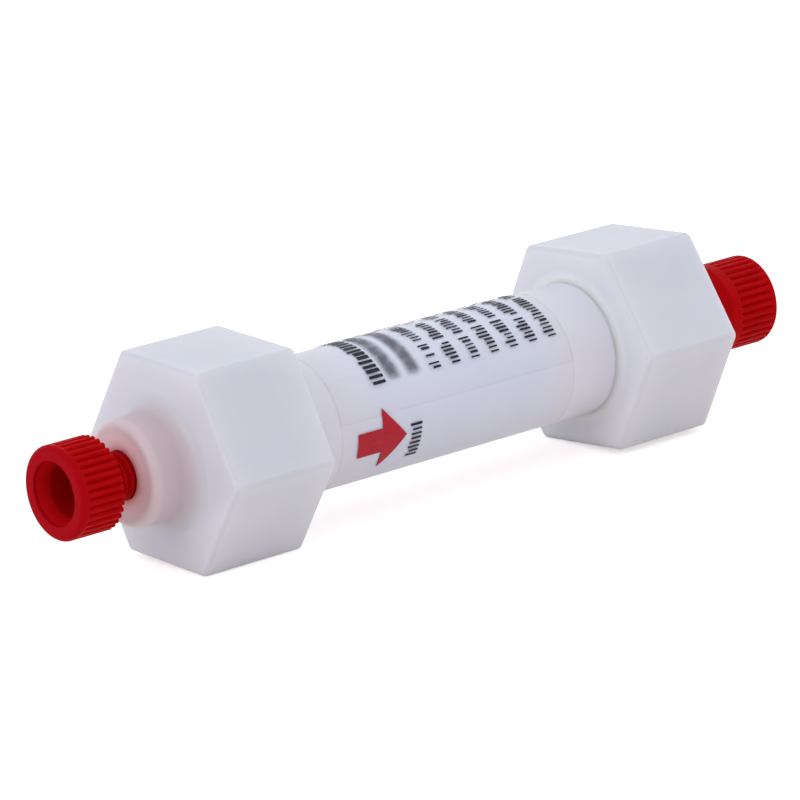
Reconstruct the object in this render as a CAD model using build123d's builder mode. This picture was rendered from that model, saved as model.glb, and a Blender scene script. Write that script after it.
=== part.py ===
from build123d import *
import os
from math import cos, radians, sin

# A small pre-packed chromatography column. Its axis lies along X, inlet end at -X, and +Z is up.
# Both ends carry a hexagonal cap, and the column lies on one long edge of each of them.
# The origin is on the surface it lies on, under the middle of its length. Millimetres.

# ---- Driving dimensions ----
# Bed and barrel
bed_diameter = 8.0
bed_length = 20.0
barrel_wall = 2.75
barrel_showing = 40.6

# Hexagonal end caps
across_flats = 20.0
cap_length = 12.0
cap_end_wall = 4.0
long_edge_radius = 0.8
end_edge_chamfer = 0.3
cap_turn = 2.8  # degrees that each cap stands off square, the inlet one way and the outlet the other
boss_diameter = 10.6
boss_length = 4.8
outlet_boss_length = 3.4
boss_rim_chamfer = 0.5
boss_root_chamfer = 0.6

# Fittings: a 10-32 thread at both ends, female at the inlet and male at the outlet
thread_diameter = 4.83
channel_diameter = 1.0
port_depth = 5.6
port_seat_length = 1.5
nozzle_length = 6.2
nozzle_tip_chamfer = 0.5

# Flow inserts, which fill the barrel between each cap and the bed
insert_flange = 1.5
frit_thickness = 1.5
distributor_diameter = 6.0
distributor_depth = 0.5
ring_section = 1.24
groove_width = 1.9
groove_from_tip = 1.6
ring_squeeze_room = 0.03

# Red stoppers
stopper_diameter = 9.24
flute_count = 36
flute_depth = 0.3
plug_head_length = 4.8
plug_neck_showing = 3.1
plug_face_chamfer = 0.45
recess_mouth_diameter = 6.3
recess_mouth_depth = 0.65
recess_diameter = 5.1
recess_floor = 0.9
plug_nose_diameter = 1.4
stop_cap_length = 8.7
stop_cap_nose_diameter = 7.2
stop_cap_cone_length = 2.4
stop_cap_band = 1.4

# Clear label film, wound once round the barrel and a little over its own start
film_thickness = 0.08
film_length = 29.9
film_offset = -0.75
film_overlap_from = 8.0  # degrees up from the near side, where the overlap starts and ends
film_overlap_to = 48.5

# Clearances, each on the radius or along the axis
bonded_clearance = 0.05
bore_clearance = 0.05
bed_clearance = 0.02
thread_clearance = 0.05
seat_clearance = 0.1
stop_cap_gap = 0.3
film_clearance = 0.01

# ---- Radii and stations worked out from them ----
bore_radius = bed_diameter / 2
barrel_radius = bore_radius + barrel_wall
boss_radius = boss_diameter / 2
socket_radius = barrel_radius + bonded_clearance
thread_radius = thread_diameter / 2
port_radius = thread_radius + thread_clearance
channel_radius = channel_diameter / 2
stopper_radius = stopper_diameter / 2
stem_radius = bore_radius - bore_clearance

# Stations along the axis, counted outwards from the middle of the bed
cap_inner_face = barrel_showing / 2
cap_outer_face = cap_inner_face + cap_length
socket_floor = cap_outer_face - cap_end_wall
barrel_end = socket_floor - insert_flange
insert_tip = bed_length / 2 + frit_thickness
inlet_boss_face = cap_outer_face + boss_length
outlet_boss_face = cap_outer_face + outlet_boss_length
plug_head_rear = inlet_boss_face + plug_neck_showing
plug_face = plug_head_rear + plug_head_length
stop_cap_front = outlet_boss_face + stop_cap_gap
stop_cap_end = stop_cap_front + stop_cap_length
nozzle_tip = outlet_boss_face + nozzle_length

# The lowest line of a cap is the rounded edge that its turn brings down
corner_distance = (across_flats / 2 - long_edge_radius) / cos(radians(30))
axis_height = corner_distance * sin(radians(60 + cap_turn)) + long_edge_radius
bed_middle = (plug_face - stop_cap_end) / 2

# Profiles that are turned about the axis are drawn on this plane: across the page is X, up is Z
turning_plane = Plane(origin=(bed_middle, 0, axis_height), x_dir=(1, 0, 0), z_dir=(0, -1, 0))
column_axis = Axis((bed_middle, 0, axis_height), (1, 0, 0))


def section_at(station):
    """The plane across the column at a station, looking along +X: across the page is Y, up is Z."""
    return Plane(origin=(bed_middle + station, 0, axis_height), x_dir=(0, 1, 0), z_dir=(1, 0, 0))


def turned_piece(outline):
    """A solid of revolution about the column axis, from (station, radius) corners of its half section."""
    with BuildPart() as piece:
        with BuildSketch(turning_plane):
            with BuildLine():
                Polyline(*outline, close=True)
            make_face()
        revolve(axis=column_axis)
    return piece


def cut_round(mouth, floor, radius, floor_radius=None):
    """Cut a round hole, or a cone where the floor has its own radius, between two stations."""
    far_radius = radius if floor_radius is None else floor_radius
    with BuildSketch(turning_plane) as half_section:
        with BuildLine():
            Polyline((mouth, 0), (mouth, radius), (floor, far_radius), (floor, 0), close=True)
        make_face()
    revolve(half_section.sketch, axis=column_axis, mode=Mode.SUBTRACT)


def cut_flutes(start, length):
    """Cut the finger grip: V-shaped flutes evenly spaced about the axis, from a station along +X."""
    with BuildSketch(section_at(start)) as flutes:
        with PolarLocations(stopper_radius, flute_count):
            RegularPolygon(flute_depth, 4)
    extrude(flutes.sketch, amount=length, mode=Mode.SUBTRACT)


# ---- Barrel: a thick-walled tube of translucent polypropylene ----
with BuildPart() as barrel:
    with BuildSketch(section_at(-barrel_end)):
        Circle(barrel_radius)
        Circle(bore_radius, mode=Mode.SUBTRACT)
    extrude(amount=2 * barrel_end)

barrel.part.label = "barrel"
export_step(barrel.part, "parts/barrel.step")


# ---- Label: clear film, one turn and an overlap ----
film_inner = barrel_radius + film_clearance
film_outer = film_inner + film_thickness
overlap_span = film_overlap_to - film_overlap_from
overlap_start = 180 - film_overlap_to  # the near side is at -Y, so angles run the other way round
with BuildPart() as label:
    with BuildSketch(section_at(film_offset - film_length / 2)):
        Circle(film_outer)
        Circle(film_inner, mode=Mode.SUBTRACT)
        with BuildLine():
            outer_arc = CenterArc((0, 0), film_outer + film_thickness, overlap_start, overlap_span)
            inner_arc = CenterArc((0, 0), film_inner + film_thickness / 2, overlap_start, overlap_span)
            Line(outer_arc @ 0, inner_arc @ 0)
            Line(outer_arc @ 1, inner_arc @ 1)
        make_face()
    extrude(amount=film_length)

label.part.label = "label"
export_step(label.part, "parts/label.step")


# ---- End caps: a hexagon to hold or to turn with a spanner, a socket for the barrel, and a boss ----
def hexagonal_cap(side, boss_reach, turn):
    """One cap without its fitting. Side is -1 at the inlet and +1 at the outlet."""
    near_face = min(side * cap_inner_face, side * cap_outer_face)
    with BuildPart() as cap:
        with BuildSketch(section_at(near_face)):
            RegularPolygon(across_flats / 2, 6, major_radius=False, rotation=turn)
        extrude(amount=cap_length)
        long_edges = cap.edges().filter_by(Axis.X)
        fillet(long_edges, radius=long_edge_radius)
        end_faces = cap.faces().filter_by(Axis.X)
        chamfer(end_faces.edges(), length=end_edge_chamfer)

        boss_face = cap_outer_face + boss_reach
        with BuildSketch(turning_plane) as boss:
            with BuildLine():
                Polyline(
                    (side * cap_outer_face, 0),
                    (side * cap_outer_face, boss_radius + boss_root_chamfer),
                    (side * (cap_outer_face + boss_root_chamfer), boss_radius),
                    (side * (boss_face - boss_rim_chamfer), boss_radius),
                    (side * boss_face, boss_radius - boss_rim_chamfer),
                    (side * boss_face, 0),
                    close=True,
                )
            make_face()
        revolve(boss.sketch, axis=column_axis)

        cut_round(side * cap_inner_face, side * socket_floor, socket_radius)
        cut_round(side * socket_floor, side * boss_face, channel_radius)
    return cap


inlet_blank = hexagonal_cap(-1, boss_length, cap_turn)
with BuildPart() as inlet_cap:
    add(inlet_blank.part)
    port_floor = inlet_boss_face - port_depth
    cut_round(-inlet_boss_face, -port_floor, port_radius)
    cut_round(-port_floor, -(port_floor - port_seat_length), port_radius, channel_radius)

inlet_cap.part.label = "inlet_cap"
export_step(inlet_cap.part, "parts/inlet_cap.step")

outlet_blank = hexagonal_cap(1, outlet_boss_length, -cap_turn)
with BuildPart() as outlet_cap:
    add(outlet_blank.part)
    with BuildSketch(turning_plane):
        with BuildLine():
            Polyline(
                (outlet_boss_face, channel_radius),
                (outlet_boss_face, thread_radius),
                (nozzle_tip - nozzle_tip_chamfer, thread_radius),
                (nozzle_tip, thread_radius - nozzle_tip_chamfer),
                (nozzle_tip, channel_radius),
                close=True,
            )
        make_face()
    revolve(axis=column_axis)

outlet_cap.part.label = "outlet_cap"
export_step(outlet_cap.part, "parts/outlet_cap.step")


# ---- Flow inserts: a flange under the cap, a stem down the bore and a shallow cone over the frit ----
def flow_insert(side):
    """One insert, with its flow channel and the groove for its O-ring."""
    tip = side * insert_tip
    flange_face = side * barrel_end
    groove_near = side * (insert_tip + groove_from_tip)
    groove_far = side * (insert_tip + groove_from_tip + groove_width)
    groove_radius = bore_radius - ring_section - 2 * ring_squeeze_room
    return turned_piece([
        (tip, distributor_diameter / 2),
        (tip, stem_radius),
        (groove_near, stem_radius),
        (groove_near, groove_radius),
        (groove_far, groove_radius),
        (groove_far, stem_radius),
        (flange_face, stem_radius),
        (flange_face, barrel_radius),
        (side * socket_floor, barrel_radius),
        (side * socket_floor, channel_radius),
        (side * (insert_tip + distributor_depth), channel_radius),
    ])


def sealing_ring(side):
    """The O-ring in the groove of one insert, with flats where the groove and the bore squeeze it."""
    ring_station = side * (insert_tip + groove_from_tip + groove_width / 2)
    ring_middle_radius = bore_radius - ring_squeeze_room - ring_section / 2
    with BuildPart() as ring:
        with BuildSketch(turning_plane):
            with Locations((ring_station, ring_middle_radius)):
                RegularPolygon(ring_section / 2, 6, major_radius=False)
        revolve(axis=column_axis)
    return ring


def disc(first_station, second_station, radius):
    """A plain disc or short rod between two stations."""
    with BuildPart() as piece:
        with BuildSketch(section_at(first_station)):
            Circle(radius)
        extrude(amount=second_station - first_station)
    return piece


for side, end_name in ((-1, "inlet"), (1, "outlet")):
    insert = flow_insert(side)
    insert.part.label = f"{end_name}_insert"
    export_step(insert.part, f"parts/{end_name}_insert.step")

    ring = sealing_ring(side)
    ring.part.label = f"{end_name}_o_ring"
    export_step(ring.part, f"parts/{end_name}_o_ring.step")

    frit = disc(side * bed_length / 2, side * insert_tip, stem_radius)
    frit.part.label = f"{end_name}_frit"
    export_step(frit.part, f"parts/{end_name}_frit.step")


# ---- Resin bed: wet beads packed between the frits ----
resin_bed = disc(-bed_length / 2, bed_length / 2, bore_radius - bed_clearance)
resin_bed.part.label = "resin_bed"
export_step(resin_bed.part, "parts/resin_bed.step")


# ---- Inlet plug: a fluted head with a stepped recess, on a screwed shank with a sealing nose ----
shank_end = inlet_boss_face - port_depth + seat_clearance
nose_end = shank_end - port_seat_length + 2 * seat_clearance
recess_end = plug_head_rear + recess_floor
with BuildPart() as inlet_plug:
    with BuildSketch(section_at(-plug_face)):
        Circle(stopper_radius)
    extrude(amount=plug_head_length)
    front_rim = inlet_plug.edges().filter_by(GeomType.CIRCLE).sort_by(Axis.X)[0]
    chamfer(front_rim, length=plug_face_chamfer)
    cut_flutes(-(plug_face - plug_face_chamfer), plug_head_length - plug_face_chamfer)
    cut_round(-plug_face, -(plug_face - recess_mouth_depth), recess_mouth_diameter / 2)
    cut_round(-(plug_face - recess_mouth_depth), -recess_end, recess_diameter / 2)
    with BuildSketch(turning_plane):
        with BuildLine():
            Polyline(
                (-plug_head_rear, 0),
                (-plug_head_rear, thread_radius),
                (-shank_end, thread_radius),
                (-nose_end, plug_nose_diameter / 2),
                (-nose_end, 0),
                close=True,
            )
        make_face()
    revolve(axis=column_axis)

inlet_plug.part.label = "inlet_plug"
export_step(inlet_plug.part, "parts/inlet_plug.step")


# ---- Outlet stop cap: a closed fluted cap with a coned skirt, screwed over the outlet nozzle ----
cone_end = stop_cap_front + stop_cap_cone_length
flutes_start = cone_end + stop_cap_band
with BuildPart() as outlet_stop_cap:
    with BuildSketch(turning_plane):
        with BuildLine():
            Polyline(
                (stop_cap_front, 0),
                (stop_cap_front, stop_cap_nose_diameter / 2),
                (cone_end, stopper_radius),
                (stop_cap_end, stopper_radius),
                (stop_cap_end, 0),
                close=True,
            )
        make_face()
    revolve(axis=column_axis)
    cut_flutes(flutes_start, stop_cap_end - flutes_start)
    cut_round(stop_cap_front, nozzle_tip + seat_clearance, port_radius)

outlet_stop_cap.part.label = "outlet_stop_cap"
export_step(outlet_stop_cap.part, "parts/outlet_stop_cap.step")
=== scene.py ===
from math import atan2, cos, degrees, pi, radians, sin, sqrt

import bmesh
import bpy
from mathutils import Matrix, Vector


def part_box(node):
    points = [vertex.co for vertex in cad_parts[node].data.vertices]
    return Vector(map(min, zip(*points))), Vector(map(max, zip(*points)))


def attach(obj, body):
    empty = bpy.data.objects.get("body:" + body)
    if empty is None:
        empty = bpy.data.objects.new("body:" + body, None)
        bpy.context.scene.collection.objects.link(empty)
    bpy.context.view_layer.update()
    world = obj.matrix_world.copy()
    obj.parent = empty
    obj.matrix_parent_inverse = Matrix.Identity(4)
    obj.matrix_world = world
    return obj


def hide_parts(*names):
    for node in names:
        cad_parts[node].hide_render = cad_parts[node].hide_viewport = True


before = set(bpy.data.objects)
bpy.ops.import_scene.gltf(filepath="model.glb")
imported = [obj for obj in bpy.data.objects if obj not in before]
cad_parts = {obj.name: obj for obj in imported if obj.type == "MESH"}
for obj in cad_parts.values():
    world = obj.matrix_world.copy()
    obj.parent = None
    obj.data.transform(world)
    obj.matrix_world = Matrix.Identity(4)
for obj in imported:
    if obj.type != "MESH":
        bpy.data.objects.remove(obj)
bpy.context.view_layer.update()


# ---- Barrel ----
# A thick-walled tube of natural polypropylene, extruded and cut square.
# It is milky, so the white bed in its middle only shows as a cooler stretch between warmer ends, which
# also carry painted red light from the plugs.
MM = 0.001
barrel_low, barrel_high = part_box("barrel")
AXIS_HEIGHT = (barrel_low.z + barrel_high.z) / 2 / MM
BARREL_RADIUS = (barrel_high.y - barrel_low.y) / 2 / MM
BED_RADIUS = 4.0


def span(node):
    """Where a piece starts and ends along the column, in millimetres."""
    low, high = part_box(node)
    return low.x / MM, high.x / MM


def rounded(corners, steps=7, lead=0.04):
    """An outline through (station, reach, rounding) corners, with an arc at each that has a rounding.
    A point just before and just after each arc keeps the shading of the faces beside it flat."""
    points = []
    for place, (station, reach, rounding) in enumerate(corners):
        here = Vector((station, reach))
        if rounding == 0:
            points.append(here)
            continue
        back = (Vector(corners[place - 1][:2]) - here).normalized()
        ahead = (Vector(corners[place + 1][:2]) - here).normalized()
        half = back.angle(ahead) / 2
        set_back = rounding / (sin(half) / cos(half))
        middle = here + (back + ahead).normalized() * rounding / sin(half)
        first = here + back * set_back - middle
        last = here + ahead * set_back - middle
        points.append(here + back * (set_back + lead))
        for step in range(steps + 1):
            share = step / steps
            spoke = first.normalized().slerp(last.normalized(), share)
            points.append(middle + spoke * rounding)
        points.append(here + ahead * (set_back + lead))
    return [(point.x, point.y) for point in points]


def turned(name, rings, angles=None, sharp=32):
    """A closed skin through rings about the column's axis. Each ring is a station and a reach in
    millimetres, and the reach may be a function of the angle. The skin closes on the axis or back on
    its first ring."""
    angles = angles or [2 * pi * step / 144 for step in range(144)]
    points, faces = [], []
    for station, reach in rings:
        for angle in angles:
            arm = reach(angle) if callable(reach) else reach
            height = AXIS_HEIGHT + arm * sin(angle)
            points.append((station * MM, arm * cos(angle) * MM, height * MM))
    around, count = len(angles), len(rings)
    closes = callable(rings[0][1]) or rings[0][1] > 0
    for ring in range(count if closes else count - 1):
        for step in range(around):
            here, there = ring * around, (ring + 1) % count * around
            after = (step + 1) % around
            faces.append((here + step, here + after, there + after, there + step))
    mesh = bpy.data.meshes.new(name)
    mesh.from_pydata(points, [], faces)
    return finished(name, mesh, sharp)


def finished(name, mesh, sharp=32):
    """Closes a mesh's seams and poles, turns its faces outwards, smooths it and makes it an object."""
    work = bmesh.new()
    work.from_mesh(mesh)
    bmesh.ops.remove_doubles(work, verts=work.verts, dist=1e-7)
    bmesh.ops.recalc_face_normals(work, faces=work.faces)
    work.to_mesh(mesh)
    work.free()
    mesh.shade_smooth()
    mesh.set_sharp_from_angle(angle=radians(sharp))
    piece = bpy.data.objects.new(name, mesh)
    bpy.context.scene.collection.objects.link(piece)
    return piece


class Value:
    """One output of a node tree. Sums written on it add Math nodes."""

    def __init__(self, tree, socket):
        self.tree, self.socket = tree, socket

    def math(self, operation, *others):
        """A Math node on this value and the others, in that order."""
        made = self.tree.nodes.new("ShaderNodeMath")
        made.operation = operation
        for place, given in enumerate((self, *others)):
            if isinstance(given, Value):
                self.tree.links.new(given.socket, made.inputs[place])
            else:
                made.inputs[place].default_value = given
        return Value(self.tree, made.outputs[0])

    def __add__(self, other):
        return self.math("ADD", other)

    def __sub__(self, other):
        return self.math("SUBTRACT", other)

    def __rsub__(self, other):
        return self.math("MULTIPLY_ADD", -1.0, other)

    def __mul__(self, other):
        return self.math("MULTIPLY", other)

    def __truediv__(self, other):
        return self.math("DIVIDE", other)

    def __pow__(self, other):
        return self.math("POWER", other)

    def __lt__(self, other):
        return self.math("LESS_THAN", other)

    def __gt__(self, other):
        return self.math("GREATER_THAN", other)

    __radd__, __rmul__ = __add__, __mul__

    def clamped(self):
        return self.math("MAXIMUM", 0.0).math("MINIMUM", 1.0)

    def eased(self, start, end):
        """0 up to start, 1 from end, and a smooth rise between them."""
        share = ((self - start) / (end - start)).clamped()
        return share * share * (3 - 2 * share)

    def output(self, name):
        return Value(self.tree, self.socket.node.outputs[name])


class Tree:
    """A material's or a modifier's node tree, with one method that adds any node."""

    def __init__(self, nodes):
        self.tree = nodes

    def node(self, kind, settings=None, inputs=None):
        made = self.tree.nodes.new(kind)
        for name, setting in (settings or {}).items():
            setattr(made, name, setting)
        for name, given in (inputs or {}).items():
            if isinstance(given, Value):
                self.tree.links.new(given.socket, made.inputs[name])
            else:
                made.inputs[name].default_value = given
        return Value(self.tree, made.outputs[0]) if made.outputs else None

    def mix(self, share, first, second):
        """A colour between two colours."""
        colours = {0: share, 6: first, 7: second}
        return self.node("ShaderNodeMix", {"data_type": "RGBA"}, colours).output(2)


def material(name):
    """An empty material and its tree."""
    made = bpy.data.materials.new(name)
    made.use_nodes = True
    made.node_tree.nodes.clear()
    return made, Tree(made.node_tree)


def srgb(red, green, blue):
    """A colour as it is seen, from 0 to 255, written as the light that it reflects."""
    return tuple(((part / 255 + 0.055) / 1.055) ** 2.4 for part in (red, green, blue)) + (1.0,)


class Spot:
    """Where a shaded point is, in millimetres: its station along the column, its height over the axis
    and its reach from it. Up is in degrees from the near side, over the top. Place is the plain
    vector."""

    def __init__(self, tree):
        self.place = tree.node("ShaderNodeTexCoord").output("Object")
        parts = tree.node("ShaderNodeSeparateXYZ", {}, {0: self.place})
        side = parts.output("Y") / MM
        self.station = parts / MM
        self.height = parts.output("Z") / MM - AXIS_HEIGHT
        self.reach = (side * side + self.height * self.height) ** 0.5
        self.up = self.height.math("ARCTAN2", 0 - side) * (180 / pi)


def cloudiness(tree, place, size, detail=3.0):
    """Soft blotches of a size in millimetres, from 0 to 1."""
    return tree.node("ShaderNodeTexNoise", {}, {
        "Vector": place, "Scale": 1 / (size * MM), "Detail": detail,
    })


def moulded_skin(tree, place, height, size):
    """A normal with the faint unevenness of a moulded surface, its height and size in millimetres."""
    waves = cloudiness(tree, place, size, 2.0)
    return tree.node("ShaderNodeBump", {}, {
        "Height": waves, "Distance": height * MM, "Strength": 1.0,
    })


def milky_plastic(name, colour, cloud_colour, depth, tint=None, roughness=0.36):
    """Natural polypropylene: light goes some millimetres deep into it, and it is faintly cloudy inside.
    A tint is a function that changes the colour from place to place."""
    made, tree = material(name)
    here = Spot(tree)
    clouds = cloudiness(tree, here.place, 7.0).eased(0.35, 0.65)
    paint = tree.mix(clouds, colour, cloud_colour)
    if tint:
        paint = tint(tree, paint, here)
    sheen_patches = cloudiness(tree, here.place, 3.0)
    shader = tree.node("ShaderNodeBsdfPrincipled", {"subsurface_method": "RANDOM_WALK"}, {
        "Base Color": paint,
        "Roughness": roughness + 0.12 * (sheen_patches - 0.5),
        "IOR": 1.49,
        "Subsurface Weight": 0.45,
        "Subsurface Radius": (1.0, 0.85, 0.8),
        "Subsurface Scale": depth * MM,
        "Normal": moulded_skin(tree, here.place, 0.004, 0.5),
    })
    tree.node("ShaderNodeOutputMaterial", {}, {"Surface": shader})
    return made


bed_start, bed_end = span("resin_bed")
BED_MIDDLE = (bed_start + bed_end) / 2
BED_SHOWS_TO = 9.5
BED_HIDDEN_FROM = 14.5
CAP_FROM_MIDDLE = span("outlet_cap")[0] - BED_MIDDLE
CAP_PAINTED_LIGHT = 0.4
CAP_PAINTED_LIGHT_WIDTH = 0.8
BARREL_COLOUR = srgb(215, 220, 235)
BARREL_CLOUD_COLOUR = srgb(219, 222, 235)
BARREL_END_COLOUR = srgb(222, 220, 230)
WHITE = (1.0, 1.0, 1.0, 1.0)


def distance(value):
    """How far a value is from zero, either way."""
    return value.math("ABSOLUTE")


def bed_and_painted_light(tree, paint, here):
    """The bed cools the middle of the barrel. The inserts showing through, with painted red light from
    the plugs, warm its ends, and next to the caps a painted light lifts it towards white.
    """
    from_middle = distance(here.station - BED_MIDDLE)
    over_bed = 1 - from_middle.eased(BED_SHOWS_TO, BED_HIDDEN_FROM)
    paint = tree.mix(over_bed, BARREL_END_COLOUR, paint)
    # Painted light: the barrel is lifted towards white next to each cap, for light that passes through
    # the bonded joint.
    painted_light_by_cap = from_middle.eased(CAP_FROM_MIDDLE - CAP_PAINTED_LIGHT_WIDTH, CAP_FROM_MIDDLE) * CAP_PAINTED_LIGHT
    return tree.mix(painted_light_by_cap, paint, WHITE)


barrel_start, barrel_end = span("barrel")
barrel = turned("barrel_tube", rounded([
    (barrel_start, BED_RADIUS, 0),
    (barrel_start, BARREL_RADIUS, 0),
    (barrel_end, BARREL_RADIUS, 0),
    (barrel_end, BED_RADIUS, 0),
]))
barrel.data.materials.append(
    milky_plastic("barrel_polypropylene", BARREL_COLOUR, BARREL_CLOUD_COLOUR, 1.2, bed_and_painted_light)
)
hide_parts("barrel")
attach(barrel, "column")


# ---- Bed, frits, inserts and O-rings ----
# Sealed inside the barrel: wet white beads between two sintered discs, pressed on by turned inserts.
# Each insert carries a rubber ring that seals it in the bore.
def grainy(name, colour, grain_colour, grain, roughness, bump):
    """Packed grains, as in a bead bed or a sintered disc, with the grain's size in millimetres."""
    made, tree = material(name)
    cells = tree.node("ShaderNodeTexVoronoi", {}, {
        "Vector": Spot(tree).place, "Scale": 1 / (grain * MM),
    })
    shader = tree.node("ShaderNodeBsdfPrincipled", {}, {
        "Base Color": tree.mix(cells.eased(0.1, 0.7), colour, grain_colour),
        "Roughness": roughness + 0.1 * cells,
        "Normal": tree.node("ShaderNodeBump", {}, {"Height": cells, "Distance": bump * MM}),
    })
    tree.node("ShaderNodeOutputMaterial", {}, {"Surface": shader})
    return made


def finish_node(name, surface):
    """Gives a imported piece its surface, in place of the plain one that it came with."""
    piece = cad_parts[name]
    piece.data.materials.clear()
    piece.data.materials.append(surface)


INSERT_COLOUR = srgb(222, 219, 224)
INSERT_CLOUD_COLOUR = srgb(227, 225, 230)
RING_SECTION = 1.24
RING_STEPS = 20
bead_bed = grainy("wet_beads", srgb(236, 238, 242), srgb(214, 219, 228), 0.065, 0.35, 0.02)
sintered = grainy("sintered_polyethylene", srgb(238, 238, 238), srgb(206, 206, 208), 0.12, 0.75, 0.05)
insert_plastic = milky_plastic("insert_polypropylene", INSERT_COLOUR, INSERT_CLOUD_COLOUR, 1.0)
ring_rubber = grainy("black_rubber", srgb(38, 38, 40), srgb(26, 26, 28), 0.09, 0.5, 0.006)
finish_node("resin_bed", bead_bed)
for end_name in ("inlet", "outlet"):
    finish_node(f"{end_name}_frit", sintered)
    finish_node(f"{end_name}_insert", insert_plastic)
    ring_start, ring_end = span(f"{end_name}_o_ring")
    ring_low, ring_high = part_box(f"{end_name}_o_ring")
    ring_middle = (ring_high.y - ring_low.y) / 2 / MM - RING_SECTION / 2
    o_ring = turned(f"{end_name}_o_ring_round", [
        (
            (ring_start + ring_end) / 2 + RING_SECTION / 2 * cos(2 * pi * step / RING_STEPS),
            ring_middle + RING_SECTION / 2 * sin(2 * pi * step / RING_STEPS),
        )
        for step in range(RING_STEPS)
    ], sharp=60)
    o_ring.data.materials.append(ring_rubber)
    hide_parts(f"{end_name}_o_ring")
    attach(o_ring, "column")


# ---- End caps ----
# Hexagonal caps moulded in natural polypropylene and bonded over the barrel's ends. All edges are soft.
# The inlet boss takes the red plug's thread, shown by a painted red glow and painted shade on the boss.
# The outlet boss ends in a threaded nozzle.
inlet_boss_face, inlet_inner_face = span("inlet_cap")
outlet_inner_face, nozzle_end = span("outlet_cap")
ACROSS_FLATS = 20.0
CAP_LENGTH = 12.0
CAP_TURN = 2.8
LONG_EDGE_ROUNDING = 0.8
END_EDGE_ROUNDING = 0.55
INNER_EDGE_ROUNDING = 0.4
BOSS_RADIUS = 5.3
BOSS_ROOT_ROUNDING = 1.6
BOSS_RIM_ROUNDING = 0.9
SOCKET_ROOM = 0.015
BOND_BEAD = 0.45
BOND_BEAD_SINK = 0.012
SHARPEST_CORNER = 0.1
CAP_END_WALL = 4.0
CHANNEL_RADIUS = 0.5
PORT_RADIUS = 2.43
PORT_DEPTH = 5.6
PORT_SEAT = 1.5
THREAD_CREST = 2.415
THREAD_ROOT = 1.95
THREAD_PITCH = 0.794
CORE_RADIUS = THREAD_ROOT - 0.05
OUTLET_BOSS_LENGTH = 3.4
outlet_boss_face = outlet_inner_face + CAP_LENGTH + OUTLET_BOSS_LENGTH
CAP_COLOUR = srgb(208, 211, 221)
CAP_CLOUD_COLOUR = srgb(212, 213, 223)


def hexagon(apothem, corner_rounding, turn):
    """How far a hexagon with rounded corners reaches at an angle. A corner stands at the turn."""
    arc_middle = (apothem - corner_rounding) / cos(pi / 6)
    tangent = atan2(corner_rounding / 2, arc_middle + corner_rounding * cos(pi / 6))

    def reach(angle):
        off_corner = abs((angle - turn + pi / 6) % (pi / 3) - pi / 6)
        if off_corner < tangent:
            across = arc_middle * sin(off_corner)
            return arc_middle * cos(off_corner) + sqrt(corner_rounding ** 2 - across ** 2)
        return apothem / cos(pi / 6 - off_corner)

    return reach


def cap_angles(turn):
    """Angles that lie close together at a hexagon's corners and wider on its flats."""
    half_side = [0, 0.3, 0.7, 1.1, 1.5, 1.8, 2.1, 2.4, 2.8, 5, 8, 11, 14, 17, 20, 23, 26, 30]
    offsets = [sign * offset for offset in half_side for sign in (-1, 1)]
    around = [60 * corner + offset for corner in range(6) for offset in offsets]
    return [radians(angle) + turn for angle in sorted(set(angle % 360 for angle in around))]


def bond_bead(side, inner_face, socket):
    """A small hollow fillet of bonding plastic, where the cap's inner face meets the barrel."""
    sweep = [pi / 2 * step / 6 for step in range(7)]
    foot = socket - BOND_BEAD_SINK
    return [
        (inner_face - side * BOND_BEAD * (1 - sin(angle)), foot + BOND_BEAD * (1 - cos(angle)), 0)
        for angle in sweep
    ]


def hexagonal_cap(name, side, inner_face, boss_face, turn, fitting):
    """One cap. Side is -1 at the inlet and +1 at the outlet, and the fitting ends its outline."""
    socket = BARREL_RADIUS + SOCKET_ROOM
    outer_face = inner_face + side * CAP_LENGTH
    socket_floor = outer_face - side * CAP_END_WALL
    flat = ACROSS_FLATS / 2
    outline = rounded([
        (socket_floor, CHANNEL_RADIUS, 0),
        (socket_floor, socket, 0),
        *bond_bead(side, inner_face, socket),
        (inner_face, flat, INNER_EDGE_ROUNDING),
        (outer_face, flat, END_EDGE_ROUNDING),
        (outer_face, BOSS_RADIUS, BOSS_ROOT_ROUNDING),
        (boss_face, BOSS_RADIUS, BOSS_RIM_ROUNDING),
        *fitting,
    ])
    rings = []
    for station, reach in outline:
        on_hexagon = reach > socket + 0.5
        corner = LONG_EDGE_ROUNDING - (flat - reach)
        rings.append((
            station, hexagon(reach, max(corner, SHARPEST_CORNER), turn) if on_hexagon else reach
        ))
    return turned(name, rings, cap_angles(turn))


INNER_FACE_LIGHT = 0.18
BOND_LIGHT = 2.5
BOND_LIGHT_WIDTH = 1.5
SIDE_LIGHT = 0.06
LONG_EDGE_LOSS = 0.2
END_EDGE_LOSS = 0.5
EDGE_SHADE = srgb(186, 190, 203)
SIDE_ANGLE = 60.0
CORNER_REACH_FROM = 10.4
CORNER_REACH_TO = 11.0


def low_down(here):
    """1 at the caps' undersides, and 0 from the axis up."""
    return 1 - here.height.eased(-8.0, 0.0)


def painted_light_from_barrel(tree, paint, here):
    """Painted light: the caps' inner faces are lifted towards white, most at the bond with the barrel and
    on their undersides, and their sides a little next to the inner rim, for light that passes in from the
    barrel.
    """
    from_middle = distance(here.station - BED_MIDDLE)
    facing_bed = 1 - from_middle.eased(CAP_FROM_MIDDLE + 0.1, CAP_FROM_MIDDLE + 0.5)
    near_bond = 1 - here.reach.eased(BARREL_RADIUS, BARREL_RADIUS + BOND_LIGHT_WIDTH)
    on_face = facing_bed * INNER_FACE_LIGHT * (1 + near_bond * BOND_LIGHT + low_down(here))
    on_side = (1 - distance(from_middle - CAP_FROM_MIDDLE).eased(0.5, 5.0)) * SIDE_LIGHT
    return tree.mix(on_face.math("MAXIMUM", on_side).clamped(), paint, WHITE)


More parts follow.
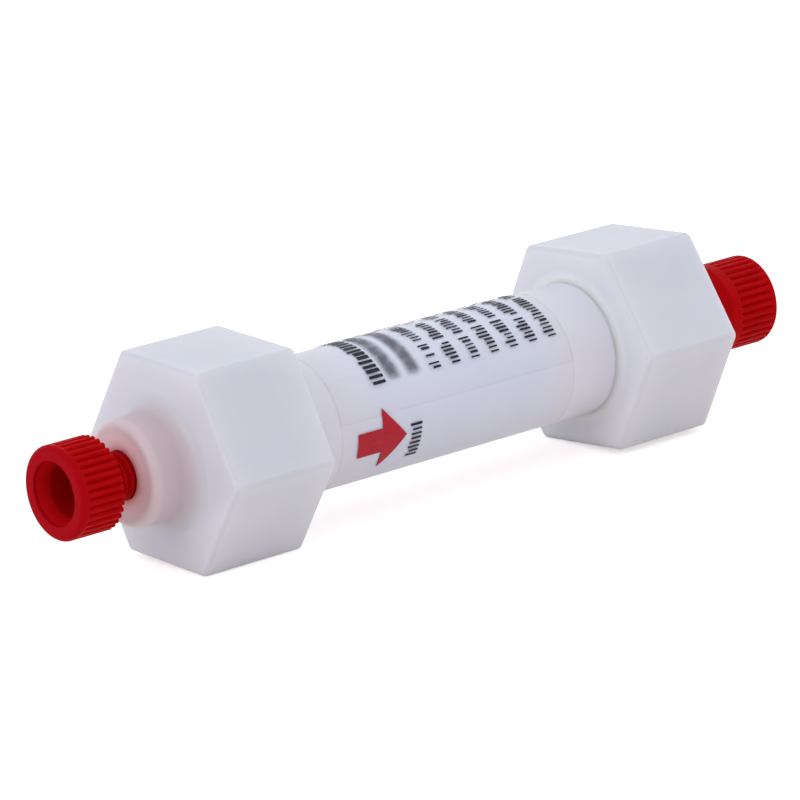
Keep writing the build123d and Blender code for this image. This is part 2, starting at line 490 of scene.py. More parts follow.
def painted_edge_shade(tree, paint, here):
    """Painted shade: the caps' rounded edges are darkened in their colour, where the thin plastic holds
    less light.
    """
    off_inner_rim = distance(distance(here.station - BED_MIDDLE) - CAP_FROM_MIDDLE)
    off_rim = off_inner_rim.math("MINIMUM", distance(off_inner_rim - CAP_LENGTH))
    turn = CAP_TURN * (2 * (here.station < BED_MIDDLE) - 1)
    along_side = (here.up + turn + 6.5 * SIDE_ANGLE).math("MODULO", SIDE_ANGLE)
    off_corner = distance(along_side - SIDE_ANGLE / 2)
    off_flat_middle = (SIDE_ANGLE / 2 - off_corner) * (pi / 180)
    from_flat = ACROSS_FLATS / 2 - here.reach * off_flat_middle.math("COSINE")
    at_corner = here.reach.eased(CORNER_REACH_FROM, CORNER_REACH_TO)
    long_edge = (1 - off_corner.eased(0.6, 2.3)) * at_corner * LONG_EDGE_LOSS
    end_edge = (1 - off_rim.eased(0.1, 0.6)) * (1 - from_flat.eased(0.1, 0.6)) * END_EDGE_LOSS
    return tree.mix(long_edge.math("MAXIMUM", end_edge), paint, EDGE_SHADE)


SHANK_AND_SHADE_SHARE = 0.95
UNDERSIDE_LOSS = 0.35
SHANK_SHADE = srgb(202, 180, 186)
ROOT_SHADE = srgb(196, 190, 196)
LIT_FROM = 0.5
LIT_TO = 2.2
LIT_STRENGTH = 0.9
LIT_COLOUR = srgb(250, 220, 224)
GLOW_REACH = 0.35
GLOW_STRENGTH = 0.65
GLOW_COLOUR = srgb(238, 72, 78)


def painted_light_and_shade_on_boss(tree, paint, here):
    """Painted shade and painted light on the inlet boss: a dull mauve that is partly the plug's shank
    showing through and partly painted shade, with less of it on the underside and a greyer painted shade
    at the boss's root, then a painted light that lifts the face round the port and a painted red glow at
    the port's rim, for the plug's red light in the plastic. The port's wall deeper in keeps the plain
    colour."""
    behind = (here.station - (inlet_boss_face + PORT_DEPTH)).math("MAXIMUM", 0.0)
    far = behind + (here.reach - THREAD_CREST).math("MAXIMUM", 0.0)
    at_mouth = 1 - (here.station - inlet_boss_face).eased(0.2, 0.9)
    off_wall = here.reach.eased(THREAD_CREST + 0.015, THREAD_CREST + 0.08)
    outside_port = off_wall.math("MAXIMUM", at_mouth)
    in_boss = (1 - here.reach.eased(BOSS_RADIUS, BOSS_RADIUS + 2.0)) * (1 - behind.eased(0.0, 2.0))
    shank_and_painted_shade = in_boss * outside_port * (1 - UNDERSIDE_LOSS * low_down(here)) * SHANK_AND_SHADE_SHARE
    at_root = here.reach.eased(BOSS_RADIUS - 0.4, BOSS_RADIUS + 1.2)
    painted_lift = (1 - far.eased(LIT_FROM, LIT_TO)) * outside_port * LIT_STRENGTH
    # Painted red glow round the port's rim, which stays when the plug is out.
    glow = (far * (-1 / GLOW_REACH)).math("EXPONENT") * outside_port * GLOW_STRENGTH
    paint = tree.mix(shank_and_painted_shade, paint, tree.mix(at_root, SHANK_SHADE, ROOT_SHADE))
    return tree.mix(glow, tree.mix(painted_lift, paint, LIT_COLOUR), GLOW_COLOUR)


def cap_painted_light_and_shade(tree, paint, here):
    """All the painted light and shade in the caps' milky plastic, with the shank that partly shows
    through the boss.
    """
    for effect in (painted_light_from_barrel, painted_edge_shade, painted_light_and_shade_on_boss):
        paint = effect(tree, paint, here)
    return paint


cap_plastic = milky_plastic("cap_polypropylene", CAP_COLOUR, CAP_CLOUD_COLOUR, 3.5, cap_painted_light_and_shade)

turn = radians(CAP_TURN)
inlet_cap = hexagonal_cap("inlet_cap_moulding", -1, inlet_inner_face, inlet_boss_face, turn, [
    (inlet_boss_face, PORT_RADIUS, 0),
    (inlet_boss_face + PORT_DEPTH, PORT_RADIUS, 0),
    (inlet_boss_face + PORT_DEPTH + PORT_SEAT, CHANNEL_RADIUS, 0),
])
outlet_cap = hexagonal_cap("outlet_cap_moulding", 1, outlet_inner_face, outlet_boss_face, -turn, [
    (outlet_boss_face, CORE_RADIUS, 0),
    (nozzle_end - 0.2, CORE_RADIUS, 0),
    (nozzle_end, CORE_RADIUS - 0.2, 0),
    (nozzle_end, CHANNEL_RADIUS, 0),
])
for cap, node in ((inlet_cap, "inlet_cap"), (outlet_cap, "outlet_cap")):
    cap.data.materials.append(cap_plastic)
    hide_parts(node)
    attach(cap, "column")


# ---- Moulded relief: threads and finger ribs ----
# A sleeve about the axis whose skin rises and falls: along a helix it is a screw thread, and with no
# helix it is a ring of ribs. Its grooves ease out at one end or both, and its inner wall closes it.
HAIR = 1e-6
THREAD_COLUMNS = 73
THREAD_ROWS_PER_TURN = 14
THREAD_NARROWNESS = 1.2
SLEEVE_WALL = 0.3
SLEEVE_OVERLAP = 0.1


def relief_tree():
    """The node tree that makes a sleeve from its sizes, all in metres."""
    group = bpy.data.node_groups.new("moulded_relief", "GeometryNodeTree")
    wanted = [
        ("Rows", "Int"), ("Columns", "Int"), ("Start", "Float"), ("Length", "Float"),
        ("Crest Radius", "Float"), ("Inner Radius", "Float"), ("Groove Depth", "Float"),
        ("Grooves Around", "Float"), ("Turns per Metre", "Float"), ("Narrowness", "Float"),
        ("Ease In", "Float"), ("Ease Out", "Float"), ("Material", "Material"),
    ]
    for name, kind in wanted:
        group.interface.new_socket(name, in_out="INPUT", socket_type=f"NodeSocket{kind}")
    group.interface.new_socket("Geometry", in_out="OUTPUT", socket_type="NodeSocketGeometry")
    tree = Tree(group)
    given = tree.node("NodeGroupInput")
    rows, columns = given.output("Rows"), given.output("Columns")
    start, length = given.output("Start"), given.output("Length")
    sheet = tree.node("GeometryNodeMeshGrid", {}, {
        "Size X": 1.0, "Size Y": 1.0, "Vertices X": rows, "Vertices Y": columns,
    })
    flat = tree.node("ShaderNodeSeparateXYZ", {}, {0: tree.node("GeometryNodeInputPosition")})
    last = rows - 1
    row = (flat + 0.5) * last
    turn = flat.output("Y") + 0.5
    share = ((row - 1) / (last - 3)).clamped() * (row < last - 0.5)
    along = share * length
    phase = (start + along) * given.output("Turns per Metre") - turn * given.output("Grooves Around")
    wave = 0.5 + 0.5 * (phase * (2 * pi)).math("COSINE")
    fade_in = ((along + HAIR) / (given.output("Ease In") + HAIR)).eased(0, 1)
    fade_out = ((length - along + HAIR) / (given.output("Ease Out") + HAIR)).eased(0, 1)
    fade = fade_in * fade_out
    groove = given.output("Groove Depth") * fade * (wave ** given.output("Narrowness"))
    on_skin = (row > 0.5) * (row < last - 1.5)
    crest, inner = given.output("Crest Radius"), given.output("Inner Radius")
    reach = inner + on_skin * (crest - groove - inner)
    angle = turn * (2 * pi)
    place = tree.node("ShaderNodeCombineXYZ", {}, {
        "X": start + along,
        "Y": reach * angle.math("COSINE"),
        "Z": AXIS_HEIGHT * MM + reach * angle.math("SINE"),
    })
    sleeve = tree.node("GeometryNodeSetPosition", {}, {"Geometry": sheet, "Position": place})
    closed = tree.node("GeometryNodeMergeByDistance", {}, {"Geometry": sleeve, "Distance": 1e-7})
    real = tree.node("GeometryNodeRealizeInstances", {}, {"Geometry": closed})
    done = tree.node("GeometryNodeSetMaterial", {}, {
        "Geometry": real, "Material": given.output("Material"),
    })
    tree.node("NodeGroupOutput", {}, {"Geometry": done})
    return group


def grown(name, group, sizes):
    """A plain mesh object made by a geometry tree, with its inputs set by name."""
    seed = bpy.data.objects.new(f"{name}_seed", bpy.data.meshes.new(f"{name}_seed"))
    bpy.context.scene.collection.objects.link(seed)
    modifier = seed.modifiers.new("shape", "NODES")
    modifier.node_group = group
    for item in group.interface.items_tree:
        if item.in_out == "INPUT" and item.name in sizes:
            modifier[item.identifier] = sizes[item.name]
    bpy.context.view_layer.update()
    graph = bpy.context.evaluated_depsgraph_get()
    mesh = bpy.data.meshes.new_from_object(seed.evaluated_get(graph))
    bpy.data.objects.remove(seed)
    mesh.name = name
    mesh.materials.clear()
    mesh.materials.append(sizes["Material"])
    return finished(name, mesh)


def joined(body, *others):
    """One object from several that share a material."""
    work = bmesh.new()
    for piece in (body, *others):
        work.from_mesh(piece.data)
    for face in work.faces:
        face.material_index = 0
    work.to_mesh(body.data)
    work.free()
    for piece in others:
        bpy.data.objects.remove(piece)
    body.data.shade_smooth()
    body.data.set_sharp_from_angle(angle=radians(32))
    return body


def thread(name, start, end, ease_in, ease_out, surface):
    """A right-hand 10-32 thread between two stations."""
    return grown(name, relief, {
        "Rows": int((end - start) / THREAD_PITCH * THREAD_ROWS_PER_TURN) + 4, "Columns": THREAD_COLUMNS,
        "Start": start * MM, "Length": (end - start) * MM,
        "Crest Radius": THREAD_CREST * MM, "Inner Radius": (THREAD_ROOT - SLEEVE_WALL) * MM,
        "Groove Depth": (THREAD_CREST - THREAD_ROOT) * MM, "Narrowness": THREAD_NARROWNESS,
        "Grooves Around": 1.0, "Turns per Metre": 1 / (THREAD_PITCH * MM),
        "Ease In": ease_in * MM, "Ease Out": ease_out * MM, "Material": surface,
    })


relief = relief_tree()
nozzle_thread = thread(
    "nozzle_thread", outlet_boss_face - SLEEVE_OVERLAP, nozzle_end - 0.2, 0.6, 0.0, cap_plastic
)
outlet_cap = joined(outlet_cap, nozzle_thread)


# ---- Label film ----
# Clear self-adhesive film, wound once round the barrel and on over its own start, so that its last end
# shows as a step. Its cut edges and the foot of the step carry a painted shade, darker than the film.
FILM_THICKNESS = 0.08
FILM_ROOM = 0.01
LAP_FROM = 8.0
LAP_TO = 48.5
LAP_STEP = 4.0
FILM_COLOUR = srgb(232, 233, 240)
FILM_EDGE_SHADE_COLOUR = srgb(162, 152, 164)
FILM_SHOWING = 0.04
CUT_EDGE_SHOWING = 0.035
DOUBLED_SHOWING = 0.02
LAP_FOOT_SHOWING = 0.01
film_start, film_end = span("label")
film_inner = BARREL_RADIUS + FILM_ROOM


def round_angle(up_from_near):
    """The angle about the axis of a place some degrees up from the near side, over the top."""
    return pi - radians(up_from_near)


def lap(up_from_near):
    """1 where the film lies double, 0 where it lies single, and a short ramp at each end."""
    rise = min(max((up_from_near - LAP_FROM) / LAP_STEP, 0), 1)
    fall = min(max((LAP_TO - up_from_near) / LAP_STEP, 0), 1)
    return min(rise, fall)


def film_skin(angle):
    """The film's outside radius at an angle about the axis."""
    up_from_near = (180 - degrees(angle) + 180) % 360 - 180
    return film_inner + FILM_THICKNESS * (1 + lap(up_from_near))


film_degrees = sorted(
    [-180 + 3 * step for step in range(120)]
    + [edge + LAP_STEP * share for edge in (LAP_FROM, LAP_TO - LAP_STEP) for share in (0.02, 0.98)]
)
film = turned("label_film_wrap", [
    (film_start, film_inner),
    (film_start, film_skin),
    (film_end, film_skin),
    (film_end, film_inner),
], [round_angle(place) for place in film_degrees], sharp=20)

film_surface, film_tree = material("clear_film")
here = Spot(film_tree)
from_end = (here.station - film_start).math("MINIMUM", film_end - here.station)
# Painted shade: the cut edges and the foot of the lap are darker and a little less clear.
shaded_cut_edge = 1 - from_end.eased(0.03, 0.1)
past_foot = here.up.eased(LAP_FROM + 0.6, LAP_FROM + 1.6)
shaded_lap_foot = here.up.eased(LAP_FROM - 0.2, LAP_FROM) * (1 - past_foot)
doubled = here.up.eased(LAP_FROM, LAP_FROM + 1) * (1 - here.up.eased(LAP_TO - 1, LAP_TO))
film_shader = film_tree.node("ShaderNodeBsdfPrincipled", {}, {
    "Base Color": film_tree.mix(shaded_cut_edge.math("MAXIMUM", shaded_lap_foot), FILM_COLOUR, FILM_EDGE_SHADE_COLOUR),
    "Roughness": 0.24 + 0.08 * cloudiness(film_tree, here.place, 4.0),
    "IOR": 1.5,
    "Alpha": (FILM_SHOWING + CUT_EDGE_SHOWING * shaded_cut_edge + DOUBLED_SHOWING * doubled
              + LAP_FOOT_SHOWING * shaded_lap_foot),
    "Normal": moulded_skin(film_tree, here.place, 0.003, 1.6),
})
film_tree.node("ShaderNodeOutputMaterial", {}, {"Surface": film_shader})
film.data.materials.append(film_surface)
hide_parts("label")
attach(film, "column")


# ---- Print on the label ----
# Plain marks in black and grey ink, as wide apart as small type, and a red arrow that gives the flow
# direction. They say nothing. Each row runs round the barrel, from the near side over the top.
INK_THICKNESS = 0.012
INK_ROOM = 0.002
ROW_SPACING = 2.5
SHORTEST_ROW = 0.55


def print_tree():
    """The node tree that lays rows of marks on a flat sheet and winds it round the film."""
    group = bpy.data.node_groups.new("printed_rows", "GeometryNodeTree")
    wanted = [
        ("Rows", "Int"), ("Row Spacing", "Float"), ("First Row", "Float"),
        ("Marks", "Int"), ("Mark Spacing", "Float"), ("First Mark", "Float"),
        ("Height", "Float"), ("Lowest", "Float"), ("Thinnest", "Float"), ("Widest", "Float"),
        ("Gap Share", "Float"), ("Shortest Row", "Float"), ("Bend Steps", "Int"), ("Seed", "Int"),
        ("Material", "Material"),
    ]
    for name, kind in wanted:
        group.interface.new_socket(name, in_out="INPUT", socket_type=f"NodeSocket{kind}")
    group.interface.new_socket("Geometry", in_out="OUTPUT", socket_type="NodeSocketGeometry")
    tree = Tree(group)
    given = tree.node("NodeGroupInput")
    marks, rows, seed = given.output("Marks"), given.output("Rows"), given.output("Seed")

    def chance(low, high, draw):
        """A random value for each point, from its own draw."""
        number = tree.node("FunctionNodeRandomValue", {"data_type": "FLOAT"}, {
            2: low, 3: high, "Seed": seed + draw,
        })
        return number.output(1)

    row_line = tree.node("GeometryNodeMeshLine", {}, {
        "Count": rows,
        "Start Location": (0.0, 0.0, 0.0),
        "Offset": tree.node("ShaderNodeCombineXYZ", {}, {"Y": given.output("Row Spacing")}),
    })
    on_points = {"data_type": "FLOAT", "domain": "POINT"}
    row_length = tree.node("GeometryNodeStoreNamedAttribute", on_points, {
        "Geometry": row_line, "Name": "row_length",
        "Value": chance(given.output("Shortest Row"), 1.0, 11),
    })
    mark_line = tree.node("GeometryNodeMeshLine", {}, {
        "Count": marks,
        "Start Location": (0.0, 0.0, 0.0),
        "Offset": tree.node("ShaderNodeCombineXYZ", {}, {"X": given.output("Mark Spacing")}),
    })
    laid = tree.node("GeometryNodeInstanceOnPoints", {}, {"Points": row_length, "Instance": mark_line})
    points = tree.node("GeometryNodeRealizeInstances", {}, {"Geometry": laid})
    spot = tree.node("ShaderNodeSeparateXYZ", {}, {0: tree.node("GeometryNodeInputPosition")})
    row_share = tree.node("GeometryNodeInputNamedAttribute", {"data_type": "FLOAT"}, {
        "Name": "row_length",
    })
    past_row = spot > row_share * (marks - 1) * given.output("Mark Spacing")
    past_start = spot > 1.1 * given.output("Mark Spacing")
    gap = (chance(0.0, 1.0, 23) < given.output("Gap Share")) * past_start
    kept = tree.node("GeometryNodeDeleteGeometry", {"domain": "POINT"}, {
        "Geometry": points, "Selection": past_row.math("MAXIMUM", gap),
    })
    width = chance(given.output("Thinnest"), given.output("Widest"), 5)
    tall = given.output("Height") * chance(given.output("Lowest"), 1.0, 7)
    lift = given.output("Height") - tall
    block = tree.node("GeometryNodeMeshCube", {}, {
        "Size": (1.0, 1.0, 1.0), "Vertices X": given.output("Bend Steps"),
        "Vertices Y": 2, "Vertices Z": 2,
    })
    raised = tree.node("GeometryNodeTransform", {}, {"Geometry": block, "Translation": (0.5, 0.5, 0.5)})
    stood = tree.node("GeometryNodeInstanceOnPoints", {}, {
        "Points": kept, "Instance": raised,
        "Scale": tree.node("ShaderNodeCombineXYZ", {}, {
            "X": width, "Y": tall, "Z": INK_THICKNESS * MM,
        }),
    })
    moved = tree.node("GeometryNodeTranslateInstances", {}, {
        "Instances": stood, "Translation": tree.node("ShaderNodeCombineXYZ", {}, {"Y": lift}),
        "Local Space": False,
    })
    flat_marks = tree.node("GeometryNodeRealizeInstances", {}, {"Geometry": moved})
    flat = tree.node("ShaderNodeSeparateXYZ", {}, {0: tree.node("GeometryNodeInputPosition")})
    skin_radius = (film_inner + FILM_THICKNESS) * MM
    up = given.output("First Mark") + flat * (180 / pi / skin_radius)
    rise = ((up - LAP_FROM) / LAP_STEP).clamped()
    double = rise.math("MINIMUM", ((LAP_TO - up) / LAP_STEP).clamped())
    reach = skin_radius + FILM_THICKNESS * MM * double + flat.output("Z") + INK_ROOM * MM
    angle = pi - up * (pi / 180)
    wound = tree.node("GeometryNodeSetPosition", {}, {
        "Geometry": flat_marks,
        "Position": tree.node("ShaderNodeCombineXYZ", {}, {
            "X": given.output("First Row") + flat.output("Y"),
            "Y": reach * angle.math("COSINE"),
            "Z": AXIS_HEIGHT * MM + reach * angle.math("SINE"),
        }),
    })
    done = tree.node("GeometryNodeSetMaterial", {}, {
        "Geometry": wound, "Material": given.output("Material"),
    })
    tree.node("NodeGroupOutput", {}, {"Geometry": done})
    return group


def ink(name, colour, thin_colour, fade=None):
    """Matt label ink, thinner in places. Fade gives how solid it is, where it fades out."""
    made, tree = material(name)
    here = Spot(tree)
    thin = cloudiness(tree, here.place, 0.35).eased(0.45, 0.75)
    shader = tree.node("ShaderNodeBsdfPrincipled", {}, {
        "Base Color": tree.mix(thin * 0.5, colour, thin_colour),
        "Roughness": 0.45 + 0.15 * thin,
        "Specular IOR Level": 0.15,
        "Alpha": fade(tree, here) if fade else 1.0,
    })
    tree.node("ShaderNodeOutputMaterial", {}, {"Surface": shader})
    return made


GREY_FIRST = -7.75
GREY_SECOND = -5.25
GREY_NEAR_END = 33.0
GREY_FADE = 7.0


def smudged(tree, here):
    """Two soft grey bands, denser in blotches, that fade out at their sides and at their near ends."""
    from_first = distance(here.station - (BED_MIDDLE + GREY_FIRST))
    from_second = distance(here.station - (BED_MIDDLE + GREY_SECOND))
    from_band = from_first.math("MINIMUM", from_second)
    near_end = here.up.eased(GREY_NEAR_END, GREY_NEAR_END + GREY_FADE)
    blotches = cloudiness(tree, here.place, 1.1, 1.0).eased(0.3, 0.7)
    return (1 - from_band.eased(0.1, 0.95)) * near_end * (0.26 + 0.32 * blotches)


printed_rows = print_tree()
black_ink = ink("black_ink", srgb(28, 28, 42), srgb(52, 54, 70))
grey_ink = ink("grey_ink", srgb(112, 115, 127), srgb(128, 130, 142), smudged)
red_ink = ink("red_ink", srgb(176, 28, 46), srgb(190, 52, 66))


def print_rows(name, surface, first_row, first_mark, seed, rows=1, marks=1, spacing=0.45, height=1.45,
               lowest=0.6, thinnest=0.16, widest=0.28, gaps=0.0, bend_steps=3):
    """Some rows of marks. Sizes and the first row's station from the bed's middle are in millimetres,
    and the first mark's place is in degrees."""
    return grown(name, printed_rows, {
        "Rows": rows, "Row Spacing": ROW_SPACING * MM, "First Row": (BED_MIDDLE + first_row) * MM,
        "Marks": marks, "Mark Spacing": spacing * MM, "First Mark": first_mark,
        "Height": height * MM, "Lowest": lowest, "Thinnest": thinnest * MM, "Widest": widest * MM,
        "Gap Share": gaps, "Shortest Row": SHORTEST_ROW, "Bend Steps": bend_steps, "Seed": seed,
        "Material": surface,
    })


heading = print_rows(
    "heading_marks", black_ink, -10.8, 33.5, 3, marks=24, spacing=0.62, height=1.8, lowest=0.66,
    thinnest=0.28, widest=0.46,
)
rows_of_marks = print_rows("row_marks", black_ink, -3.4, 33.5, 8, rows=7, marks=40, gaps=0.16)
side_marks = print_rows(
    "side_marks", black_ink, -7.16, -36.8, 5, marks=11, spacing=0.5, height=1.5, lowest=0.75,
    thinnest=0.18,
)
grey_rows = print_rows(
    "label_print_grey", grey_ink, GREY_FIRST - 1, GREY_NEAR_END, 2, rows=2, height=2.0, lowest=1.0,
    thinnest=11.0, widest=12.0, bend_steps=40,
)
dark_print = joined(heading, rows_of_marks, side_marks)
dark_print.name = "label_print_dark"

ARROW_TAIL = -13.7
ARROW_NECK = -10.6
ARROW_TIP = -7.6
ARROW_SHAFT_HALF = 1.25
ARROW_HEAD_HALF = 3.2
ARROW_TIP_HALF = 0.02
ARROW_MIDDLE = -12.8


def arrow_patch(name, sections):
    """A thin closed patch on the film between sections, each a station and half a width round it."""
    across = 16
    points, faces = [], []
    for station, half in sections:
        for lifted in (False, True):
            for step in range(across + 1):
                offset = half * (2 * step / across - 1)
                up = ARROW_MIDDLE + degrees(offset / film_inner)
                angle = round_angle(up)
                arm = film_skin(angle) + INK_ROOM + INK_THICKNESS * lifted
                height = AXIS_HEIGHT + arm * sin(angle)
                points.append(((BED_MIDDLE + station) * MM, arm * cos(angle) * MM, height * MM))
    strip = across + 1
    for section in range(len(sections) - 1):
        low, high = section * 2 * strip, (section + 1) * 2 * strip
        for layer in (0, strip):
            for step in range(across):
                a, b = low + layer + step, high + layer + step
                faces.append((a, a + 1, b + 1, b))
        for edge in (0, across):
            faces.append((low + edge, high + edge, high + strip + edge, low + strip + edge))
    for end in (0, (len(sections) - 1) * 2 * strip):
        for step in range(across):
            faces.append((end + step, end + step + 1, end + strip + step + 1, end + strip + step))
    mesh = bpy.data.meshes.new(name)
    mesh.from_pydata(points, [], faces)
    return finished(name, mesh)


head_length = ARROW_TIP - ARROW_NECK
head_spread = ARROW_HEAD_HALF - ARROW_TIP_HALF
head_shares = [1 - step / 12 for step in range(13)]
arrow = arrow_patch("label_flow_arrow", [
    (ARROW_TAIL, ARROW_SHAFT_HALF),
    (ARROW_NECK, ARROW_SHAFT_HALF),
    *((ARROW_TIP - share * head_length + 0.01, ARROW_TIP_HALF + share * head_spread)
      for share in head_shares),
])
arrow.data.materials.append(red_ink)
for printed in (dark_print, grey_rows, arrow):
    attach(printed, "column")


# ---- Inlet plug ----
# A one-piece red polypropylene screw plug. Its head is a ribbed ring, hollowed by a recess with a
# sloping mouth, and its 10-32 shank screws into the boss until the small nose seals the channel.
STOPPER_RADIUS = 4.62
RIB_COUNT = 36
RIB_DEPTH = 0.33
RIB_NARROWNESS = 2.4
RIB_ROWS = 30
COLUMNS_PER_RIB = 10
HEAD_LENGTH = 4.8
HEAD_RIM_ROUNDING = 0.5
RIB_EASE = 0.5
RECESS_MOUTH_RADIUS = 3.15
RECESS_MOUTH_DEPTH = 0.3
RECESS_SLOPE = 1.2
RECESS_RADIUS = 2.55
RECESS_FLOOR = 0.9
NOSE_RADIUS = 0.7
NOSE_LENGTH = 1.3
RED_COLOUR = srgb(184, 7, 15)
RED_CLOUD_COLOUR = srgb(176, 6, 12)
OUTER_FACE_SHADE = srgb(164, 4, 20)
RECESS_SHADE = srgb(136, 3, 5)
plug_face, nose_end = span("inlet_plug")
head_rear = plug_face + HEAD_LENGTH
shank_end = nose_end - NOSE_LENGTH


def red_plastic(name):
    """Red polypropylene with a dull sheen and light going just under its skin. Painted shade darkens it
    in the plug's recess and on its outer face."""
    made, tree = material(name)
    here = Spot(tree)
    clouds = cloudiness(tree, here.place, 1.8).eased(0.3, 0.7)
    paint = tree.mix(clouds, RED_COLOUR, RED_CLOUD_COLOUR)
    # Painted shade on the plug's outer face and in its recess.
    shaded_outer_face = 1 - here.station.eased(plug_face, plug_face + 0.7)
    in_recess = (1 - here.reach.eased(RECESS_RADIUS, RECESS_MOUTH_RADIUS)) * (1 - shaded_outer_face)
    paint = tree.mix(in_recess * (here.station < head_rear) * 0.5, paint, RECESS_SHADE)
    shader = tree.node("ShaderNodeBsdfPrincipled", {"subsurface_method": "RANDOM_WALK"}, {
        "Base Color": tree.mix(shaded_outer_face, paint, OUTER_FACE_SHADE),
        "Roughness": 0.36 + 0.14 * (cloudiness(tree, here.place, 0.9) - 0.5),
        "Specular IOR Level": 0.015,
        "Subsurface Weight": 0.15,
        "Subsurface Radius": (1.0, 0.2, 0.15),
        "Subsurface Scale": 0.4 * MM,
        "Normal": moulded_skin(tree, here.place, 0.006, 0.35),
    })
    tree.node("ShaderNodeOutputMaterial", {}, {"Surface": shader})
    return made


red_polypropylene = red_plastic("red_polypropylene")
band_end = plug_face + HEAD_RIM_ROUNDING + 0.05
rib_bed = STOPPER_RADIUS - RIB_DEPTH - 0.1


def ribs(name, start, end, ease_in, ease_out=0.0):
    """A ring of finger ribs. Their grooves ease in from the start, and ease or run out at the end."""
    return grown(name, relief, {
        "Rows": RIB_ROWS, "Columns": RIB_COUNT * COLUMNS_PER_RIB + 1,
        "Start": start * MM, "Length": (end - start) * MM,
        "Crest Radius": STOPPER_RADIUS * MM, "Inner Radius": (rib_bed - 0.2) * MM,
        "Groove Depth": RIB_DEPTH * MM, "Grooves Around": float(RIB_COUNT), "Turns per Metre": 0.0,
        "Narrowness": RIB_NARROWNESS, "Ease In": ease_in * MM, "Ease Out": ease_out * MM,
        "Material": red_polypropylene,
    })


plug = turned("inlet_plug_moulding", rounded([
    (head_rear - RECESS_FLOOR, 0, 0),
    (head_rear - RECESS_FLOOR, RECESS_RADIUS, 0),
    (plug_face + RECESS_MOUTH_DEPTH + RECESS_SLOPE, RECESS_RADIUS, 0.6),
    (plug_face + RECESS_MOUTH_DEPTH, RECESS_MOUTH_RADIUS, 0.3),
    (plug_face, RECESS_MOUTH_RADIUS, 0.12),
    (plug_face, STOPPER_RADIUS, HEAD_RIM_ROUNDING),
    (band_end, STOPPER_RADIUS, 0),
    (band_end, rib_bed, 0),
    (head_rear, rib_bed, 0),
    (head_rear, CORE_RADIUS, 0),
    (shank_end, CORE_RADIUS, 0),
    (nose_end, NOSE_RADIUS, 0),
    (nose_end, 0, 0),
]))
plug.data.materials.append(red_polypropylene)
plug_ribs = ribs("plug_ribs", band_end, head_rear, RIB_EASE)
plug_thread = thread(
    "plug_thread", head_rear - SLEEVE_OVERLAP, shank_end, 0.5, 0.6, red_polypropylene
)
plug = joined(plug, plug_ribs, plug_thread)
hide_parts("inlet_plug")
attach(plug, "plug")


# ---- Outlet stop cap ----
# A closed cap in the same red, screwed over the outlet nozzle. It has a coned skirt, a smooth band and
# the same ribs, which run out at its flat end.
STOP_CAP_NOSE_RADIUS = 3.6
STOP_CAP_CONE = 2.4
STOP_CAP_BAND = 1.0
STOP_CAP_CREST_ROUNDING = 0.35
STOP_CAP_END_ROUNDING = 0.4
BORE_ROOM = 0.1
cap_front, cap_end = span("outlet_stop_cap")
bore_floor = nozzle_end + BORE_ROOM
rib_start = cap_front + STOP_CAP_CONE + STOP_CAP_BAND
rib_end = cap_end - STOP_CAP_END_ROUNDING - 0.05
stop_cap = turned("outlet_stop_cap_moulding", rounded([
    (bore_floor, 0, 0),
    (bore_floor, PORT_RADIUS, 0),
    (cap_front, PORT_RADIUS, 0),
    (cap_front, STOP_CAP_NOSE_RADIUS, 0.15),
    (cap_front + STOP_CAP_CONE, STOPPER_RADIUS, STOP_CAP_CREST_ROUNDING),
    (rib_start, STOPPER_RADIUS, 0),
    (rib_start, rib_bed, 0),
    (rib_end, rib_bed, 0),
    (rib_end, STOPPER_RADIUS, 0),
    (cap_end, STOPPER_RADIUS, STOP_CAP_END_ROUNDING),
    (cap_end, 0, 0),
]))
stop_cap.data.materials.append(red_polypropylene)
stop_cap_ribs = ribs("stop_cap_ribs", rib_start, rib_end, RIB_EASE, 0.6)
stop_cap = joined(stop_cap, stop_cap_ribs)
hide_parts("outlet_stop_cap")
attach(stop_cap, "stop_cap")


# ---- Floor, backdrop and light ----
# A plain white floor that keeps a faint shadow, in a white surround. Three large soft lamps stand above
# the column and beside it.
def looked_at(tree):
    """1 for rays that look at a surface, straight or by a mirror or glass. 0 for the light it gives."""
    path = tree.node("ShaderNodeLightPath")
    seen = path.output("Is Camera Ray").math("MAXIMUM", path.output("Is Glossy Ray"))
    return seen.math("MAXIMUM", path.output("Is Transmission Ray"))


FLOOR_SIZE = 6.0
FLOOR_COLOUR = (0.91, 0.835, 0.79, 1.0)
FLOOR_GLOW = 0.55
AMBIENT = 0.83
AMBIENT_COLOUR = (0.93, 0.95, 1.0, 1.0)
floor_mesh = bpy.data.meshes.new("floor")
half_floor = FLOOR_SIZE / 2
corners = [(-1, -1), (1, -1), (1, 1), (-1, 1)]
floor_mesh.from_pydata([(x * half_floor, y * half_floor, 0) for x, y in corners], [], [(0, 1, 2, 3)])
floor = bpy.data.objects.new("floor", floor_mesh)
bpy.context.scene.collection.objects.link(floor)
floor_surface, floor_tree = material("white_floor")
seen = looked_at(floor_tree)
matt = floor_tree.node("ShaderNodeBsdfDiffuse", {}, {"Color": FLOOR_COLOUR})
glow = floor_tree.node("ShaderNodeEmission", {}, {"Color": WHITE, "Strength": seen * FLOOR_GLOW})
both = floor_tree.node("ShaderNodeAddShader", {}, {0: matt, 1: glow})
floor_tree.node("ShaderNodeOutputMaterial", {}, {"Surface": both})
floor_mesh.materials.append(floor_surface)

world = bpy.data.worlds.new("white_surround")
bpy.context.scene.world = world
world.use_nodes = True
world.node_tree.nodes.clear()
sky = Tree(world.node_tree)
seen = looked_at(sky)
surround = sky.node("ShaderNodeBackground", {}, {
    "Color": sky.mix(seen, AMBIENT_COLOUR, WHITE),
    "Strength": AMBIENT + (1 - AMBIENT) * seen,
})
sky.node("ShaderNodeOutputWorld", {}, {"Surface": surround})


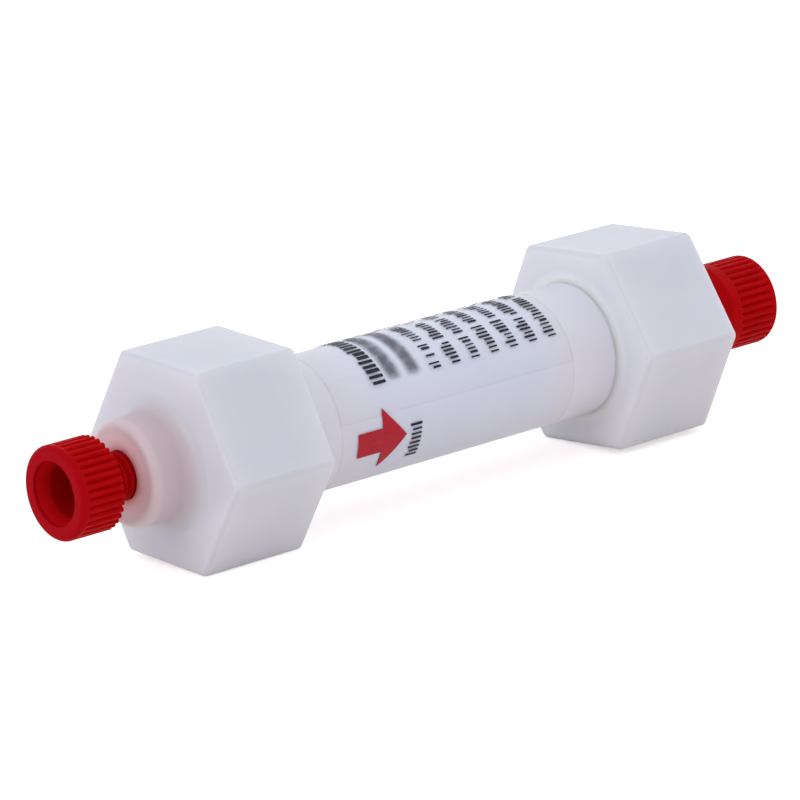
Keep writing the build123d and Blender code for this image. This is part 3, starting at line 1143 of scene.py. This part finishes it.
def lamp(name, place, size, power, colour):
    """A large soft square lamp that points at the column."""
    light = bpy.data.lights.new(name, "AREA")
    light.size, light.energy, light.color = size, power, colour
    holder = bpy.data.objects.new(name, light)
    bpy.context.scene.collection.objects.link(holder)
    holder.location = place
    aim = Vector((0, 0, AXIS_HEIGHT * MM)) - Vector(place)
    holder.rotation_euler = aim.to_track_quat("-Z", "Y").to_euler()


lamp("lamp_above", (-0.05, 0.05, 0.6), size=0.5, power=0.22, colour=(0.9, 0.96, 1.0))
lamp("lamp_inlet_side", (-0.6, -0.05, 0.3), size=0.4, power=0.9, colour=(1.0, 0.97, 0.98))
lamp("lamp_outlet_side", (0.6, -0.1, 0.3), size=0.4, power=0.5, colour=(1.0, 1.0, 1.0))


# ---- Camera ----
# A long lens some way off, on the near side and past the inlet end, turned a little about its own line
# of sight.
CAMERA_TARGET = (-0.0025, 0.0, 0.0099)
CAMERA_DISTANCE = 0.507
CAMERA_AZIMUTH = 39.685
CAMERA_DROP = 15.013
CAMERA_ROLL = -3.671
CAMERA_LENS = 233.574
azimuth, drop, roll = radians(CAMERA_AZIMUTH), radians(CAMERA_DROP), radians(CAMERA_ROLL)
forward = Vector((sin(azimuth) * cos(drop), cos(azimuth) * cos(drop), -sin(drop)))
level_right = forward.cross(Vector((0, 0, 1))).normalized()
level_up = level_right.cross(forward)
right = level_right * cos(roll) + level_up * sin(roll)
up = right.cross(forward)
camera_data = bpy.data.cameras.new("camera")
camera_data.lens = CAMERA_LENS
camera_data.sensor_width = 36.0
camera_data.clip_start, camera_data.clip_end = 0.01, 20.0
camera = bpy.data.objects.new("camera", camera_data)
bpy.context.scene.collection.objects.link(camera)
camera.matrix_world = Matrix((
    (right.x, up.x, -forward.x, 0),
    (right.y, up.y, -forward.y, 0),
    (right.z, up.z, -forward.z, 0),
    (0, 0, 0, 1),
))
camera.location = Vector(CAMERA_TARGET) - forward * CAMERA_DISTANCE
bpy.context.scene.camera = camera
bpy.context.scene.view_settings.view_transform = "Standard"
